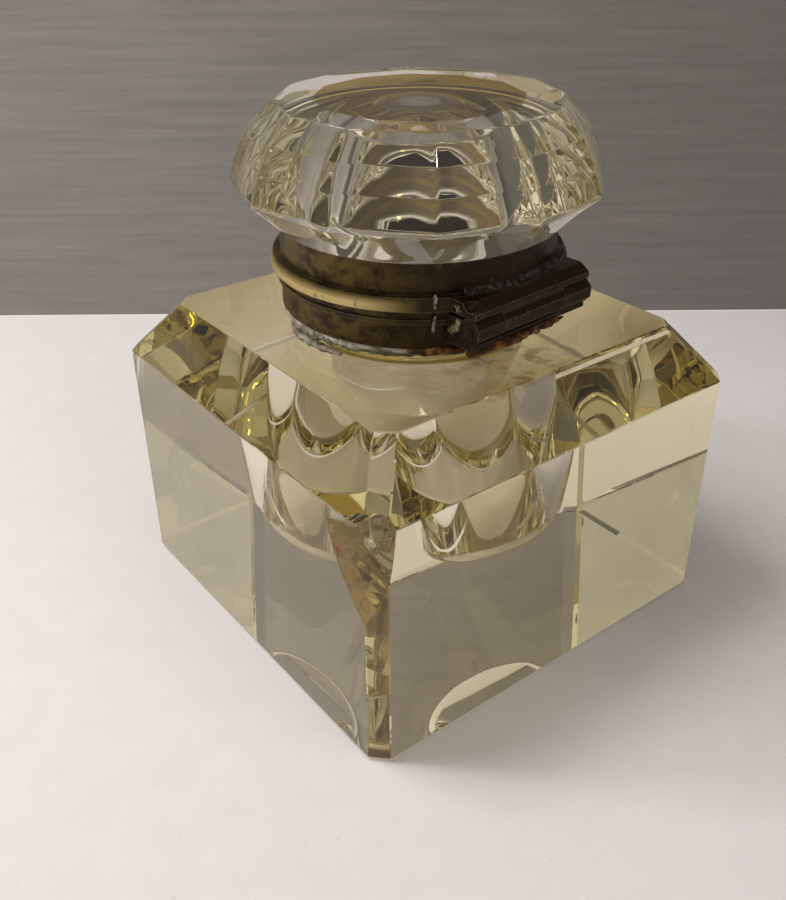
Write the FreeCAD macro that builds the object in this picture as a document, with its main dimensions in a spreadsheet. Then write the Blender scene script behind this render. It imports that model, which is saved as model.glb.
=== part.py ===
"""Square cut-glass inkwell with a brass hinged collar and a faceted glass lid.

Units are millimetres. +Z is up, the origin is the centre of the block's underside, the hinge is at the back (+Y)
and the lid lifts at the front (-Y). The brass mount and everything it carries is turned a few degrees on the
block, because it was plastered on slightly out of square.
"""
import FreeCAD, Part
import os

import Sketcher

# Every dimension that drives the model: word, value, meaning.
DIMENSIONS = [
    # glass block
    ("block_half", 34.0, "half of the block's square width"),
    ("block_top", 47.9, "height of the flat top"),
    ("bevel_start", 39.3, "height where the top bevels begin"),
    ("bevel_inset", 6.6, "how far the top bevels come in"),
    ("corner_cut", 2.2, "flat cut on each vertical corner"),
    ("foot_bevel", 0.6, "small bevel around the underside"),
    ("neck_radius", 17.3, "glass neck under the brass collar"),
    ("neck_top", 54.4, "top of the glass neck"),
    ("neck_flare", 0.8, "flare where the neck meets the top"),
    # well for the ink
    ("well_panels", 8, "flat panels cut in the well's wall"),
    ("well_panel_corner", 16.24, "radius to the panels' corners"),
    ("well_turn", 0.0, "angle of the first panel corner"),
    ("well_floor", 16.5, "height of the well's floor"),
    ("well_floor_radius", 12.9, "radius of the tapered bowl at the floor"),
    ("well_rim_radius", 21.4, "radius of the taper carried up to the neck top"),
    ("well_rim_height", 57.4, "height where that taper is measured"),
    ("well_floor_round", 3.8, "rounding between floor and wall"),
    # damage on the near corner and one small nick
    ("chip_radius", 67.7, "main chip, a shallow scoop across the corner"),
    ("chip_x", 96.5, "centre of the scoop"),
    ("chip_y", 48.4, "centre of the scoop"),
    ("chip_z", 44.7, "centre of the scoop"),
    ("chip_step_lean", 24.0, "degrees the step over the scoop rises towards the corner"),
    ("chip_step_y", 26.7, "lower corner of the block that ends in that step"),
    ("chip_step_z", 5.4, "lower corner of that block"),
    ("chip_step_height", 30.0, "from that corner up to the step"),
    ("flake_radius", 7.0, "smaller flake above the main chip"),
    ("flake_x", 37.2, "centre of the smaller flake"),
    ("flake_y", 37.4, "centre of the smaller flake"),
    ("flake_z", 41.6, "centre of the smaller flake"),
    ("nick_radius", 1.3, "nick on a top corner"),
    # brass on the block
    ("mount_turn", 4.0, "degrees the mount is out of square"),
    ("fit_gap", 0.05, "gap that keeps glass, plaster and brass apart"),
    ("collar_bore", 19.3, "inside of the lower collar"),
    ("collar_bottom", 51.2, "lower edge of the lower collar"),
    ("collar_foot_radius", 20.55, "outside at the lower edge"),
    ("collar_waist_radius", 20.45, "outside below the step ring"),
    ("step_bottom", 54.95, "step ring, lower edge"),
    ("step_top", 55.65, "step ring, upper edge"),
    ("step_radius", 21.0, "step ring, outside"),
    ("collar_lip_radius", 20.7, "outside above the step ring"),
    ("collar_top", 57.0, "top of the lower collar"),
    ("throat_bore", 17.5, "inside of the throat ring"),
    ("throat_radius", 18.4, "outside of the throat ring's wall"),
    ("throat_foot", 54.6, "underside of the throat ring"),
    ("throat_shelf", 55.3, "top of the throat ring's foot"),
    ("throat_top", 58.4, "top of the throat ring"),
    # plaster
    ("plaster_low", 49.6, "lowest plaster on the neck"),
    ("plaster_squeeze", 20.3, "radius of the plaster squeezed out under the collar"),
    # brass on the lid
    ("joint_height", 57.1, "underside of the lid's flange"),
    ("flange_radius", 21.9, "outside of the flange"),
    ("flange_shoulder", 58.1, "height where the flange begins to slope in"),
    ("flange_top_radius", 21.45, "outside at the flange's top"),
    ("flange_top", 58.95, "top of the flange"),
    ("band_low_radius", 20.45, "outside of the band above the flange"),
    ("band_top_radius", 20.3, "outside of the band at its top"),
    ("band_top", 63.3, "top of the band"),
    ("band_bore", 19.25, "inside of the band"),
    ("ledge_bore", 18.75, "inside of the ledge that carries the glass"),
    ("ledge_top", 58.2, "top of that ledge"),
    # glass lid
    ("lid_sides", 12, "facets around the lid"),
    ("lid_turn", -3.5, "degrees to the first facet corner"),
    ("stub_radius", 18.6, "round stub inside the band"),
    ("stub_bottom", 58.6, "underside of the stub"),
    ("hollow_radius", 15.2, "hollow under the lid, at its mouth"),
    ("hollow_waist_radius", 14.7, "hollow where it begins to narrow"),
    ("hollow_waist", 62.4, "height where it begins to narrow"),
    ("hollow_shoulder_radius", 10.1, "hollow where its wall turns towards the top"),
    ("hollow_shoulder", 73.3, "height of that turn"),
    ("hollow_crown_radius", 6.0, "flat at the hollow's top"),
    ("hollow_crown", 75.9, "top of the hollow"),
    ("hollow_round", 1.0, "rounding at the shoulder"),
    ("hollow_panel_corner", 14.8, "radius to the corners of the panels in the hollow's wall"),
    # hinge
    ("hinge_back", 21.95, "hinge axis behind the lid's centre"),
    ("hinge_height", 55.13, "hinge axis above the underside"),
    ("hinge_half", 11.4, "half of the hinge's length"),
    ("knuckle_half", 6.0, "half of the middle knuckle's length"),
    ("knuckle_gap", 0.1, "gap between knuckles"),
    ("knuckle_sides", 8, "flats filed on the knuckles"),
    ("knuckle_corner", 1.93, "radius to the corners between those flats"),
    ("pin_radius", 0.8, "hinge pin"),
    ("pin_bore", 0.85, "bore for the pin"),
    ("pin_half", 11.75, "half of the pin's length"),
    ("pin_dome", 0.3, "rounding of the pin's ends"),
    ("swing_radius", 1.97, "room cleared around the middle knuckle"),
    ("wing_edge", 23.1, "outer edge of the upper leaf"),
    ("wing_top", 58.95, "top of the upper leaf"),
    ("wing_edge_top", 57.9, "top of the upper leaf at its outer edge"),
    ("wing_slope", 33.0, "degrees the upper leaf falls towards that edge"),
    ("slope_run", 3.355, "from that edge back to the start of the slope's line"),
    ("slope_rise", 2.179, "height of that start above the edge"),
    ("shelf_edge", 22.6, "outer edge of the lower leaf's plate"),
    ("shelf_bottom", 52.55, "underside of the lower leaf's plate"),
    ("shelf_top", 53.14, "top of the lower leaf's plate"),
    ("leaf_root", 14.0, "leaves start here, before the collars are cut away"),
    ("web_half", 1.0, "half thickness of the middle knuckle's web"),
    ("tear_radius", 1.1, "torn notch in one end of the upper leaf"),
    ("tear_x", 10.9, "centre of the notch"),
    ("tear_y", 21.9, "centre of the notch"),
    # solder
    ("solder_reach", 21.3, "outer reach of the solder fillets"),
    ("solder_rise", 60.1, "top of the upper fillet"),
    ("solder_drop", 51.35, "bottom of the lower fillet"),
    ("solder_sweep", 52.0, "degrees the solder runs around the collar"),
]
VALUES = {word: value for word, value, _ in DIMENSIONS}

# Facet rings of the lid, bottom to top: circumradius, height. The second is the girdle, its widest.
LID_RINGS = [(20.9, 63.4), (27.05, 69.1), (25.6, 73.3), (23.8, 76.6), (20.4, 79.9)]

doc = FreeCAD.newDocument("inkwell")
sheet = doc.addObject("Spreadsheet::Sheet", "dims")


def fill_sheet():
    rows = list(DIMENSIONS)
    for number, (radius, height) in enumerate(LID_RINGS):
        rows.append((f"lid_ring{number}_radius", radius, "corner radius of a facet ring of the lid"))
        rows.append((f"lid_ring{number}_height", height, "height of that ring"))
    for row, (word, value, note) in enumerate(rows, start=1):
        sheet.set(f"A{row}", word)
        sheet.set(f"B{row}", str(value))
        sheet.setAlias(f"B{row}", word)
        sheet.set(f"C{row}", note)
        VALUES[word] = value
    doc.recompute()


def value_of(formula):
    """The number a formula such as 'neck_radius + fit_gap' stands for."""
    total, sign = 0.0, 1.0
    for token in formula.split():
        if token in "+-":
            sign = -1.0 if token == "-" else 1.0
        else:
            total += sign * (VALUES[token] if token in VALUES else float(token))
    return total


def in_sheet(formula):
    return " ".join("dims." + token if token in VALUES else token for token in formula.split())


def bind(thing, **formulas):
    """Drive properties from the sheet; Placement parts are written with double underscores."""
    for name, formula in formulas.items():
        thing.setExpression(name.replace("__", "."), in_sheet(formula))
    return thing


def make(kind, name, **formulas):
    return bind(doc.addObject(kind, name), **formulas)


def outline(name, corners, upright):
    """A closed sketch through corners, each coordinate a signed formula held by its own constraint."""
    sketch = doc.addObject("Sketcher::SketchObject", name)
    if upright:
        sketch.Placement = FreeCAD.Placement(FreeCAD.Vector(0, 0, 0), FreeCAD.Rotation(FreeCAD.Vector(1, 0, 0), 90))
    points = [FreeCAD.Vector(*(sign * value_of(formula) for sign, formula in corner), 0) for corner in corners]
    count = len(points)
    for index, point in enumerate(points):
        sketch.addGeometry(Part.LineSegment(point, points[(index + 1) % count]), False)
    for index in range(count):
        sketch.addConstraint(Sketcher.Constraint("Coincident", index, 2, (index + 1) % count, 1))
    for index, corner in enumerate(corners):
        for axis, (sign, formula) in zip("XY", corner):
            size = value_of(formula)
            if abs(size) < 1e-9:
                line = -2 if axis == "X" else -1
                sketch.addConstraint(Sketcher.Constraint("PointOnObject", index, 1, line))
                continue
            ends = (-1, 1, index, 1) if sign > 0 else (index, 1, -1, 1)
            number = sketch.addConstraint(Sketcher.Constraint("Distance" + axis, *ends, size))
            label = f"{axis.lower()}{index}"
            sketch.renameConstraint(number, label)
            sketch.setExpression("Constraints." + label, in_sheet(formula))
    return sketch


def turned(name, profile, degrees=360.0):
    """Revolve a radius-height profile about the vertical axis."""
    sketch = outline(name + "_profile", [((1, radius), (1, height)) for radius, height in profile], True)
    solid = doc.addObject("Part::Revolution", name)
    solid.Source = sketch
    solid.Axis = FreeCAD.Vector(0, 0, 1)
    solid.Base = FreeCAD.Vector(0, 0, 0)
    solid.Angle = degrees
    solid.Solid = True
    return solid


def block_section(name, half, cut, height):
    """Square with its corners cut, lying flat at a height."""
    corners = []
    for x_sign, y_sign in ((1, 1), (-1, 1), (-1, -1), (1, -1)):
        near_x = ((x_sign, half), (y_sign, f"{half} - {cut}"))
        near_y = ((x_sign, f"{half} - {cut}"), (y_sign, half))
        corners += [near_x, near_y] if x_sign * y_sign > 0 else [near_y, near_x]
    sketch = outline(name, corners, False)
    return bind(sketch, Placement__Base__z=height)


def loft(name, sections):
    solid = doc.addObject("Part::Loft", name)
    solid.Sections = sections
    solid.Solid = True
    solid.Ruled = True
    return solid


def fuse(name, *things):
    joined = doc.addObject("Part::MultiFuse", name)
    joined.Shapes = list(things)
    joined.Refine = True
    return joined


def cut(name, base, tool):
    left = doc.addObject("Part::Cut", name)
    left.Base = base
    left.Tool = tool
    left.Refine = True
    return left


def common(name, first, second):
    shared = doc.addObject("Part::MultiCommon", name)
    shared.Shapes = [first, second]
    shared.Refine = True
    return shared


def rounded(name, base, radius, chosen):
    """Round every edge of base for which chosen(edge) holds."""
    doc.recompute()
    picked = [(number, radius, radius) for number, edge in enumerate(base.Shape.Edges, start=1) if chosen(edge)]
    if not picked:
        raise RuntimeError(f"{name}: no edge to round")
    result = doc.addObject("Part::Fillet", name)
    result.Base = base
    result.Edges = picked
    return result


def ring_edge(radius, height):
    """Chooser for full circles of a radius at a height."""
    def chosen(edge):
        circle = edge.Curve
        return (circle.TypeId == "Part::GeomCircle" and abs(circle.Radius - radius) < 0.02
                and abs(circle.Center.z - height) < 0.02 and abs(edge.Length - 6.283185 * radius) < 0.1)
    return chosen


def lying_cylinder(name, radius, half):
    """Cylinder along the hinge axis, centred on the hinge."""
    bar = make("Part::Cylinder", name, Radius=radius, Height=f"2 * ( {half} )", Placement__Base__x=f"0 - ( {half} )",
               Placement__Base__y="hinge_back", Placement__Base__z="hinge_height")
    bar.Placement.Rotation = FreeCAD.Rotation(FreeCAD.Vector(0, 1, 0), 90)
    return bar


def filed_bar(name, half):
    """Bar with filed flats along the hinge axis, centred on the hinge, one flat facing straight up."""
    bar = make("Part::Prism", name, Polygon="knuckle_sides", Circumradius="knuckle_corner",
               Height=f"2 * ( {half} )", Placement__Base__x=f"0 - ( {half} )", Placement__Base__y="hinge_back",
               Placement__Base__z="hinge_height")
    lie_down = FreeCAD.Rotation(FreeCAD.Vector(0, 1, 0), 90)
    bar.Placement.Rotation = lie_down * FreeCAD.Rotation(FreeCAD.Vector(0, 0, 1), 180 / VALUES["knuckle_sides"])
    return bar


def slab(name, left, right, front, back, low, high):
    """Box between six formulas."""
    return make("Part::Box", name, Length=f"{right} - ( {left} )", Width=f"{back} - ( {front} )",
                Height=f"{high} - ( {low} )", Placement__Base__x=left, Placement__Base__y=front,
                Placement__Base__z=low)


def on_mount(piece, label):
    """Turn a finished piece with the brass mount and name it."""
    piece.Label = label
    piece.Placement = FreeCAD.Placement(FreeCAD.Vector(0, 0, 0), FreeCAD.Rotation(FreeCAD.Vector(0, 0, 1), 1))
    piece.setExpression("Placement.Rotation.Angle", "dims.mount_turn")
    return piece


def glass_block():
    sections = [
        block_section("foot_section", "block_half - foot_bevel", "corner_cut", "0"),
        block_section("side_section", "block_half", "corner_cut", "foot_bevel"),
        block_section("bevel_section", "block_half", "corner_cut", "bevel_start"),
        block_section("top_section", "block_half - bevel_inset", "corner_cut", "block_top"),
    ]
    cube = loft("bevelled_cube", sections)
    neck = turned("glass_neck", [
        ("0", "block_top - 2"), ("neck_radius + neck_flare", "block_top - 2"),
        ("neck_radius + neck_flare", "block_top"), ("neck_radius", "block_top + neck_flare"),
        ("neck_radius", "neck_top"), ("0", "neck_top"),
    ])
    bowl = turned("well_bowl", [
        ("0", "well_floor"), ("well_floor_radius", "well_floor"),
        ("well_rim_radius", "well_rim_height"), ("0", "well_rim_height"),
    ])
    bowl = rounded("well_bowl_rounded", bowl, VALUES["well_floor_round"],
                   ring_edge(VALUES["well_floor_radius"], VALUES["well_floor"]))
    panels = make("Part::Prism", "well_panel_tool", Polygon="well_panels", Circumradius="well_panel_corner",
                  Height="well_rim_height", Placement__Rotation__Angle="well_turn")
    well = common("well", panels, bowl)
    scoop = make("Part::Sphere", "chip_scoop", Radius="chip_radius", Placement__Base__x="chip_x",
                 Placement__Base__y="chip_y", Placement__Base__z="chip_z")
    step = make("Part::Box", "chip_step", Length="block_half", Width="block_half", Height="chip_step_height",
                Placement__Base__x="block_half / 2", Placement__Base__y="chip_step_y",
                Placement__Base__z="chip_step_z")
    step.Placement.Rotation = FreeCAD.Rotation(FreeCAD.Vector(1, 0, 0), VALUES["chip_step_lean"])
    chip = common("main_chip", scoop, step)
    flake = make("Part::Sphere", "upper_flake", Radius="flake_radius", Placement__Base__x="flake_x",
                 Placement__Base__y="flake_y", Placement__Base__z="flake_z")
    nick = make("Part::Sphere", "top_nick", Radius="nick_radius", Placement__Base__x="block_half - bevel_inset",
                Placement__Base__y="bevel_inset - block_half", Placement__Base__z="block_top")
    solid = fuse("block_and_neck", cube, neck)
    hollowed = cut("hollowed_block", solid, fuse("glass_removed", well, chip, flake, nick))
    hollowed.Label = "glass_block"
    return hollowed


def base_cement():
    inner = "neck_radius + fit_gap"
    outer = "collar_bore - fit_gap"
    ring = turned("plaster_below", [
        (inner, "plaster_low"), ("neck_radius + 1", "plaster_low + 0.3"),
        ("plaster_squeeze", "collar_bottom - 0.7"), ("plaster_squeeze", "collar_bottom - fit_gap"),
        (outer, "collar_bottom - fit_gap"), (outer, "neck_top"), (inner, "neck_top"),
    ])
    ring.Label = "base_cement"
    return ring


def lower_outside():
    return turned("lower_outside", [
        ("0", "collar_bottom"), ("collar_foot_radius", "collar_bottom"), ("collar_waist_radius", "step_bottom"),
        ("step_radius", "step_bottom"), ("step_radius", "step_top"), ("collar_lip_radius", "step_top"),
        ("collar_lip_radius", "collar_top"), ("0", "collar_top"),
    ])


def lower_collar(outside):
    bore = make("Part::Cylinder", "lower_bore", Radius="collar_bore", Height="wing_top")
    relief = lying_cylinder("knuckle_relief", "swing_radius", "knuckle_half + knuckle_gap / 2")
    return on_mount(cut("lower_ring", outside, fuse("lower_removed", bore, relief)), "lower_collar")


def throat_ring():
    ring = turned("throat", [
        ("throat_bore", "throat_foot"), ("collar_bore - fit_gap", "throat_foot"),
        ("collar_bore - fit_gap", "throat_shelf"), ("throat_radius", "throat_shelf"),
        ("throat_radius", "throat_top"), ("throat_bore", "throat_top"),
    ])
    return on_mount(ring, "throat_ring")


def lower_leaf(outside):
    inner_end = "knuckle_half + knuckle_gap"
    plate = slab("lower_plate", "0 - hinge_half", "hinge_half", "leaf_root", "shelf_edge", "shelf_bottom", "shelf_top")
    barrel = filed_bar("outer_barrel", "hinge_half")
    web = slab("outer_web", "0 - hinge_half", "hinge_half", "leaf_root", "hinge_back", "shelf_bottom",
               "hinge_height + 1.5")
    window = slab("knuckle_window", f"0 - ( {inner_end} )", inner_end, "leaf_root - 1", "wing_edge + 5", "shelf_top",
                  "wing_top")
    bore = lying_cylinder("lower_pin_bore", "pin_bore", "pin_half + 1")
    blank = fuse("lower_leaf_blank", plate, cut("outer_knuckles", fuse("outer_row", barrel, web), window))
    shaped = cut("lower_leaf", blank, fuse("lower_leaf_removed", outside, bore))
    return on_mount(shaped, "lower_hinge_leaf")


def hinge_pin():
    bar = lying_cylinder("pin_bar", "pin_radius", "pin_half")
    domed = rounded("pin_domed", bar, VALUES["pin_dome"], lambda edge: edge.Curve.TypeId == "Part::GeomCircle")
    return on_mount(domed, "hinge_pin")


def upper_outside():
    return turned("upper_outside", [
        ("0", "joint_height"), ("flange_radius", "joint_height"), ("flange_radius", "flange_shoulder"),
        ("flange_top_radius", "flange_top"), ("band_low_radius", "flange_top"), ("band_top_radius", "band_top"),
        ("0", "band_top"),
    ])


def upper_collar(outside):
    ledge_hole = make("Part::Cylinder", "ledge_hole", Radius="ledge_bore", Height="band_top + 5")
    band_hole = make("Part::Cylinder", "band_hole", Radius="band_bore", Height="10", Placement__Base__z="ledge_top")
    return on_mount(cut("upper_ring", outside, fuse("upper_removed", ledge_hole, band_hole)), "upper_collar")


def upper_leaf(outside):
    wing = slab("wing", "0 - hinge_half", "hinge_half", "leaf_root", "wing_edge", "joint_height", "wing_top")
    barrel = filed_bar("middle_barrel", "knuckle_half")
    web = slab("middle_web", "0 - knuckle_half", "knuckle_half", "hinge_back - web_half", "hinge_back + web_half",
               "hinge_height", "joint_height + 0.3")
    bore = lying_cylinder("upper_pin_bore", "pin_bore", "pin_half + 1")
    tear = make("Part::Sphere", "wing_tear", Radius="tear_radius", Placement__Base__x="tear_x",
                Placement__Base__y="tear_y", Placement__Base__z="wing_top")
    slope = make("Part::Box", "wing_slope_tool", Length="2 * hinge_half + 4", Width="6", Height="4",
                 Placement__Base__x="0 - ( hinge_half + 2 )", Placement__Base__y="wing_edge - slope_run",
                 Placement__Base__z="wing_edge_top + slope_rise")
    slope.Placement.Rotation = FreeCAD.Rotation(FreeCAD.Vector(1, 0, 0), -VALUES["wing_slope"])
    blank = fuse("upper_leaf_blank", cut("sloped_wing", wing, slope), barrel, web)
    shaped = cut("upper_leaf", blank, fuse("upper_leaf_removed", outside, bore, tear))
    return on_mount(shaped, "upper_hinge_leaf")


def solder(name, label, outside, root, reach_height, tip_height):
    """A fillet of solder around the back of a collar, between the collar and its leaf."""
    fillet = turned(name + "_sweep", [(root, reach_height), ("solder_reach", reach_height), (root, tip_height)],
                    VALUES["solder_sweep"])
    fillet.Placement.Rotation = FreeCAD.Rotation(FreeCAD.Vector(0, 0, 1), 90.0 - VALUES["solder_sweep"] / 2)
    return on_mount(cut(name, fillet, outside), label)


def lid_cement():
    ring = turned("plaster_above", [
        ("stub_radius + fit_gap", "ledge_top + fit_gap"), ("band_bore - fit_gap", "ledge_top + fit_gap"),
        ("band_bore - fit_gap", "band_top + fit_gap"), ("stub_radius + fit_gap", "band_top + fit_gap"),
    ])
    return on_mount(ring, "lid_cement")


def glass_lid():
    rings = []
    for number in range(len(LID_RINGS)):
        ring = make("Part::RegularPolygon", f"lid_ring{number}", Polygon="lid_sides",
                    Circumradius=f"lid_ring{number}_radius", Placement__Base__z=f"lid_ring{number}_height",
                    Placement__Rotation__Angle="lid_turn")
        rings.append(ring)
    crown = loft("faceted_crown", rings)
    stub = make("Part::Cylinder", "lid_stub", Radius="stub_radius", Height="5.5", Placement__Base__z="stub_bottom")
    hollow = turned("lid_hollow", [
        ("0", "stub_bottom - 1"), ("hollow_radius", "stub_bottom - 1"), ("hollow_radius", "stub_bottom + 0.4"),
        ("hollow_waist_radius", "hollow_waist"), ("hollow_shoulder_radius", "hollow_shoulder"),
        ("hollow_crown_radius", "hollow_crown"), ("0", "hollow_crown"),
    ])
    hollow = rounded("lid_hollow_rounded", hollow, VALUES["hollow_round"],
                     ring_edge(VALUES["hollow_shoulder_radius"], VALUES["hollow_shoulder"]))
    panels = make("Part::Prism", "hollow_panel_tool", Polygon="well_panels", Circumradius="hollow_panel_corner",
                  Height="hollow_crown", Placement__Rotation__Angle="lid_turn")
    panelled = common("panelled_hollow", panels, hollow)
    lid = cut("hollowed_lid", fuse("crown_and_stub", crown, stub), panelled)
    lid.Label = "glass_lid"
    return lid


def build():
    fill_sheet()
    below = lower_outside()
    above = upper_outside()
    return [
        glass_block(), base_cement(), lower_collar(below), throat_ring(), lower_leaf(below), hinge_pin(),
        solder("lower_solder", "lower_solder", below, "collar_waist_radius - 0.5", "shelf_bottom", "solder_drop"),
        glass_lid(), lid_cement(), upper_collar(above), upper_leaf(above),
        solder("upper_solder", "upper_solder", above, "band_low_radius - 0.5", "flange_top", "solder_rise"),
    ]


nodes = build()
doc.recompute()
for thing in doc.Objects:
    if "Invalid" in thing.State or "Error" in thing.State:
        raise RuntimeError(f"{thing.Name} did not recompute: {thing.State}")
os.makedirs("parts", exist_ok=True)
for node in nodes:
    shape = node.Shape
    if shape.isNull() or not shape.isValid() or not shape.Solids:
        raise RuntimeError(f"{node.Label} is not a valid solid")
    shape.exportStep(f"parts/{node.Label}.step")
    box = shape.BoundBox
    print(f"{node.Label:18s} solids {len(shape.Solids)} volume {shape.Volume / 1000:8.3f} cm3 "
          f"x {box.XMin:.2f} {box.XMax:.2f} y {box.YMin:.2f} {box.YMax:.2f} z {box.ZMin:.2f} {box.ZMax:.2f}")
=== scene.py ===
"""Looks of the square glass inkwell: cut glass, tarnished brass, plaster and solder on a pale floor.

Everything is placed in metres in the part's own frame: +Z up, the hinge at the back (+Y). The outlines of
shapes are written in millimetres. MM turns millimetres into metres, and TO_MM turns metres into millimetres.
"""
import math

import bmesh
import bpy
from mathutils import Matrix, Vector, noise


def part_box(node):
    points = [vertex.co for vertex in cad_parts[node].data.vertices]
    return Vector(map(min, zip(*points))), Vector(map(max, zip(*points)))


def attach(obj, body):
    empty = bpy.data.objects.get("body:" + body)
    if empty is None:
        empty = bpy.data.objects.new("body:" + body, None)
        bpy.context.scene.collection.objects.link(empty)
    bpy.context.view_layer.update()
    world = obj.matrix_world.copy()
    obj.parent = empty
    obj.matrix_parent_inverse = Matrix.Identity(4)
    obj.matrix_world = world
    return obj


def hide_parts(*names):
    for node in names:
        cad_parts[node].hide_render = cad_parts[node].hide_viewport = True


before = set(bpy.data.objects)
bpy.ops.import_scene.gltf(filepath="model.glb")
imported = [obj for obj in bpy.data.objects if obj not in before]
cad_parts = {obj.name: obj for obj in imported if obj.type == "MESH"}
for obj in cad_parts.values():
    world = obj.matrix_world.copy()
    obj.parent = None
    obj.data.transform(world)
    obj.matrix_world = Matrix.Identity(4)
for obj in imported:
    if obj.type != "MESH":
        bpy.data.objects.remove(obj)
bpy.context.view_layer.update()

MM = 0.001
TO_MM = 1000.0
BLOCK_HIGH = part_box("glass_block")[1]
BAND_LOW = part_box("upper_collar")[0]
LID_LOW, LID_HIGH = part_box("glass_lid")
HALF = BLOCK_HIGH.x
BLOCK_TOP = 47.9 * MM


# ---- node trees ----

class Tree:
    """A material's node tree, with short calls for the nodes that the materials below share."""

    def __init__(self, name):
        self.material = bpy.data.materials.new(name)
        self.material.use_nodes = True
        self.tree = self.material.node_tree
        self.tree.nodes.clear()
        self.output = self.tree.nodes.new("ShaderNodeOutputMaterial")
        self.place = self.node("ShaderNodeTexCoord").outputs["Object"]

    def node(self, kind, **settings):
        made = self.tree.nodes.new(kind)
        for key, value in settings.items():
            setattr(made, key, value)
        return made

    def join(self, value, socket):
        """Links a socket, or sets a plain value."""
        if isinstance(value, bpy.types.NodeSocket):
            self.tree.links.new(value, socket)
        else:
            socket.default_value = value

    def math(self, operation, first, second=0.0):
        made = self.node("ShaderNodeMath", operation=operation)
        self.join(first, made.inputs[0])
        self.join(second, made.inputs[1])
        return made.outputs[0]

    def product(self, first, *others):
        """All the values multiplied together."""
        for other in others:
            first = self.math("MULTIPLY", first, other)
        return first

    def vector(self, operation, first, second=(0.0, 0.0, 0.0), scale=1.0):
        made = self.node("ShaderNodeVectorMath", operation=operation)
        self.join(first, made.inputs[0])
        self.join(second, made.inputs[1])
        if operation == "SCALE":
            self.join(scale, made.inputs["Scale"])
        return made.outputs["Value" if operation in ("DISTANCE", "DOT_PRODUCT") else "Vector"]

    def axes(self, vector=None):
        """The three coordinates of a vector, or of the shaded point."""
        made = self.node("ShaderNodeSeparateXYZ")
        self.join(self.place if vector is None else vector, made.inputs[0])
        return made.outputs

    def along(self, direction, vector=None):
        """How far a vector, or the shaded point, reaches along a direction."""
        return self.vector("DOT_PRODUCT", self.place if vector is None else vector, tuple(direction))

    def noise(self, size, detail=4.0, stretch=(1.0, 1.0, 1.0), rough=0.55):
        """Noise from 0 to 1 whose lumps are about size metres, squeezed by stretch."""
        made = self.node("ShaderNodeTexNoise")
        self.join(self.vector("MULTIPLY", self.place, stretch), made.inputs["Vector"])
        made.inputs["Scale"].default_value = 1.0 / size
        made.inputs["Detail"].default_value = detail
        made.inputs["Roughness"].default_value = rough
        return made.outputs["Fac"]

    def range(self, value, low, high, to_low=0.0, to_high=1.0, smooth=True):
        """Turns low..high into to_low..to_high and holds the ends; low may lie above high."""
        made = self.node("ShaderNodeMapRange", clamp=True)
        made.interpolation_type = "SMOOTHSTEP" if smooth else "LINEAR"
        for item, socket in zip((value, low, high, to_low, to_high), made.inputs):
            self.join(item, socket)
        return made.outputs[0]

    def mix(self, factor, first, second):
        made = self.node("ShaderNodeMix", data_type="RGBA")
        self.join(factor, made.inputs["Factor"])
        self.join(first, made.inputs["A"])
        self.join(second, made.inputs["B"])
        return made.outputs["Result"]

    def near(self, centre, radius, soft):
        """1 inside radius of centre, fading to 0 over soft."""
        distance = self.vector("DISTANCE", self.place, tuple(centre))
        return self.range(distance, radius, radius + soft, 1.0, 0.0)

    def near_line(self, start, end, radius, soft):
        """1 within radius of the line from start to end, fading to 0 over soft."""
        line = end - start
        offset = self.vector("SUBTRACT", self.place, tuple(start))
        share = self.range(self.along(line / line.length_squared, offset), 0.0, 1.0, smooth=False)
        foot = self.vector("SCALE", tuple(line), scale=share)
        distance = self.vector("DISTANCE", offset, foot)
        return self.range(distance, radius, radius + soft, 1.0, 0.0)

    def bump(self, height, distance, strength, under=None):
        """A normal from a height; under is a normal that it adds to."""
        made = self.node("ShaderNodeBump")
        made.inputs["Strength"].default_value = strength
        made.inputs["Distance"].default_value = distance
        self.join(height, made.inputs["Height"])
        if under is not None:
            self.join(under, made.inputs["Normal"])
        return made.outputs[0]

    def principled(self, **values):
        made = self.node("ShaderNodeBsdfPrincipled")
        for key, value in values.items():
            self.join(value, made.inputs[key.replace("_", " ")])
        return made.outputs[0]

    def shade(self, factor, first, second):
        """A mix of two surfaces."""
        made = self.node("ShaderNodeMixShader")
        for value, socket in zip((factor, first, second), made.inputs):
            self.join(value, socket)
        return made.outputs[0]

    def finish(self, surface, volume=None):
        self.join(surface, self.output.inputs["Surface"])
        if volume is not None:
            self.join(volume, self.output.inputs["Volume"])
        return self.material


# ---- glass ----

GLASS_INDEX = 1.55
GLASS_TINT = (0.85, 0.80, 0.46, 1)
GLASS_DENSITY = 12.0
SHADE_UNDER_BACK = (0.98, 0.96, 0.89, 1)
SHADE_UNDER_FRONT = (0.68, 0.65, 0.59, 1)
SHADE_BESIDE_GLASS = (0.42, 0.40, 0.37, 1)
SHADE_REACH = 22 * MM
SHADE_EDGE = 1 * MM
NEAR_CORNER = Vector((1, 1, 0)).normalized()

CHIP_TIP = Vector((34.0, 23.9, 36.6)) * MM
CHIP_MIDDLE = Vector((33.2, 28.6, 30.2)) * MM
CHIP_FOOT = Vector((33.4, 32.0, 25.2)) * MM
BREAK_START, BREAK_FULL = 0.02 * MM, 0.10 * MM
CHIP_FILM_BROWN = (0.20, 0.135, 0.055, 1)
CHIP_FILM_RED = (0.24, 0.085, 0.042, 1)

RUST_SPOT = Vector((3 * MM, 24 * MM, BLOCK_TOP))
RUST_SPREAD = 6 * MM
RUST_STRENGTH = 0.55
RUST_STAIN = (0.20, 0.085, 0.02, 1)


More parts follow.
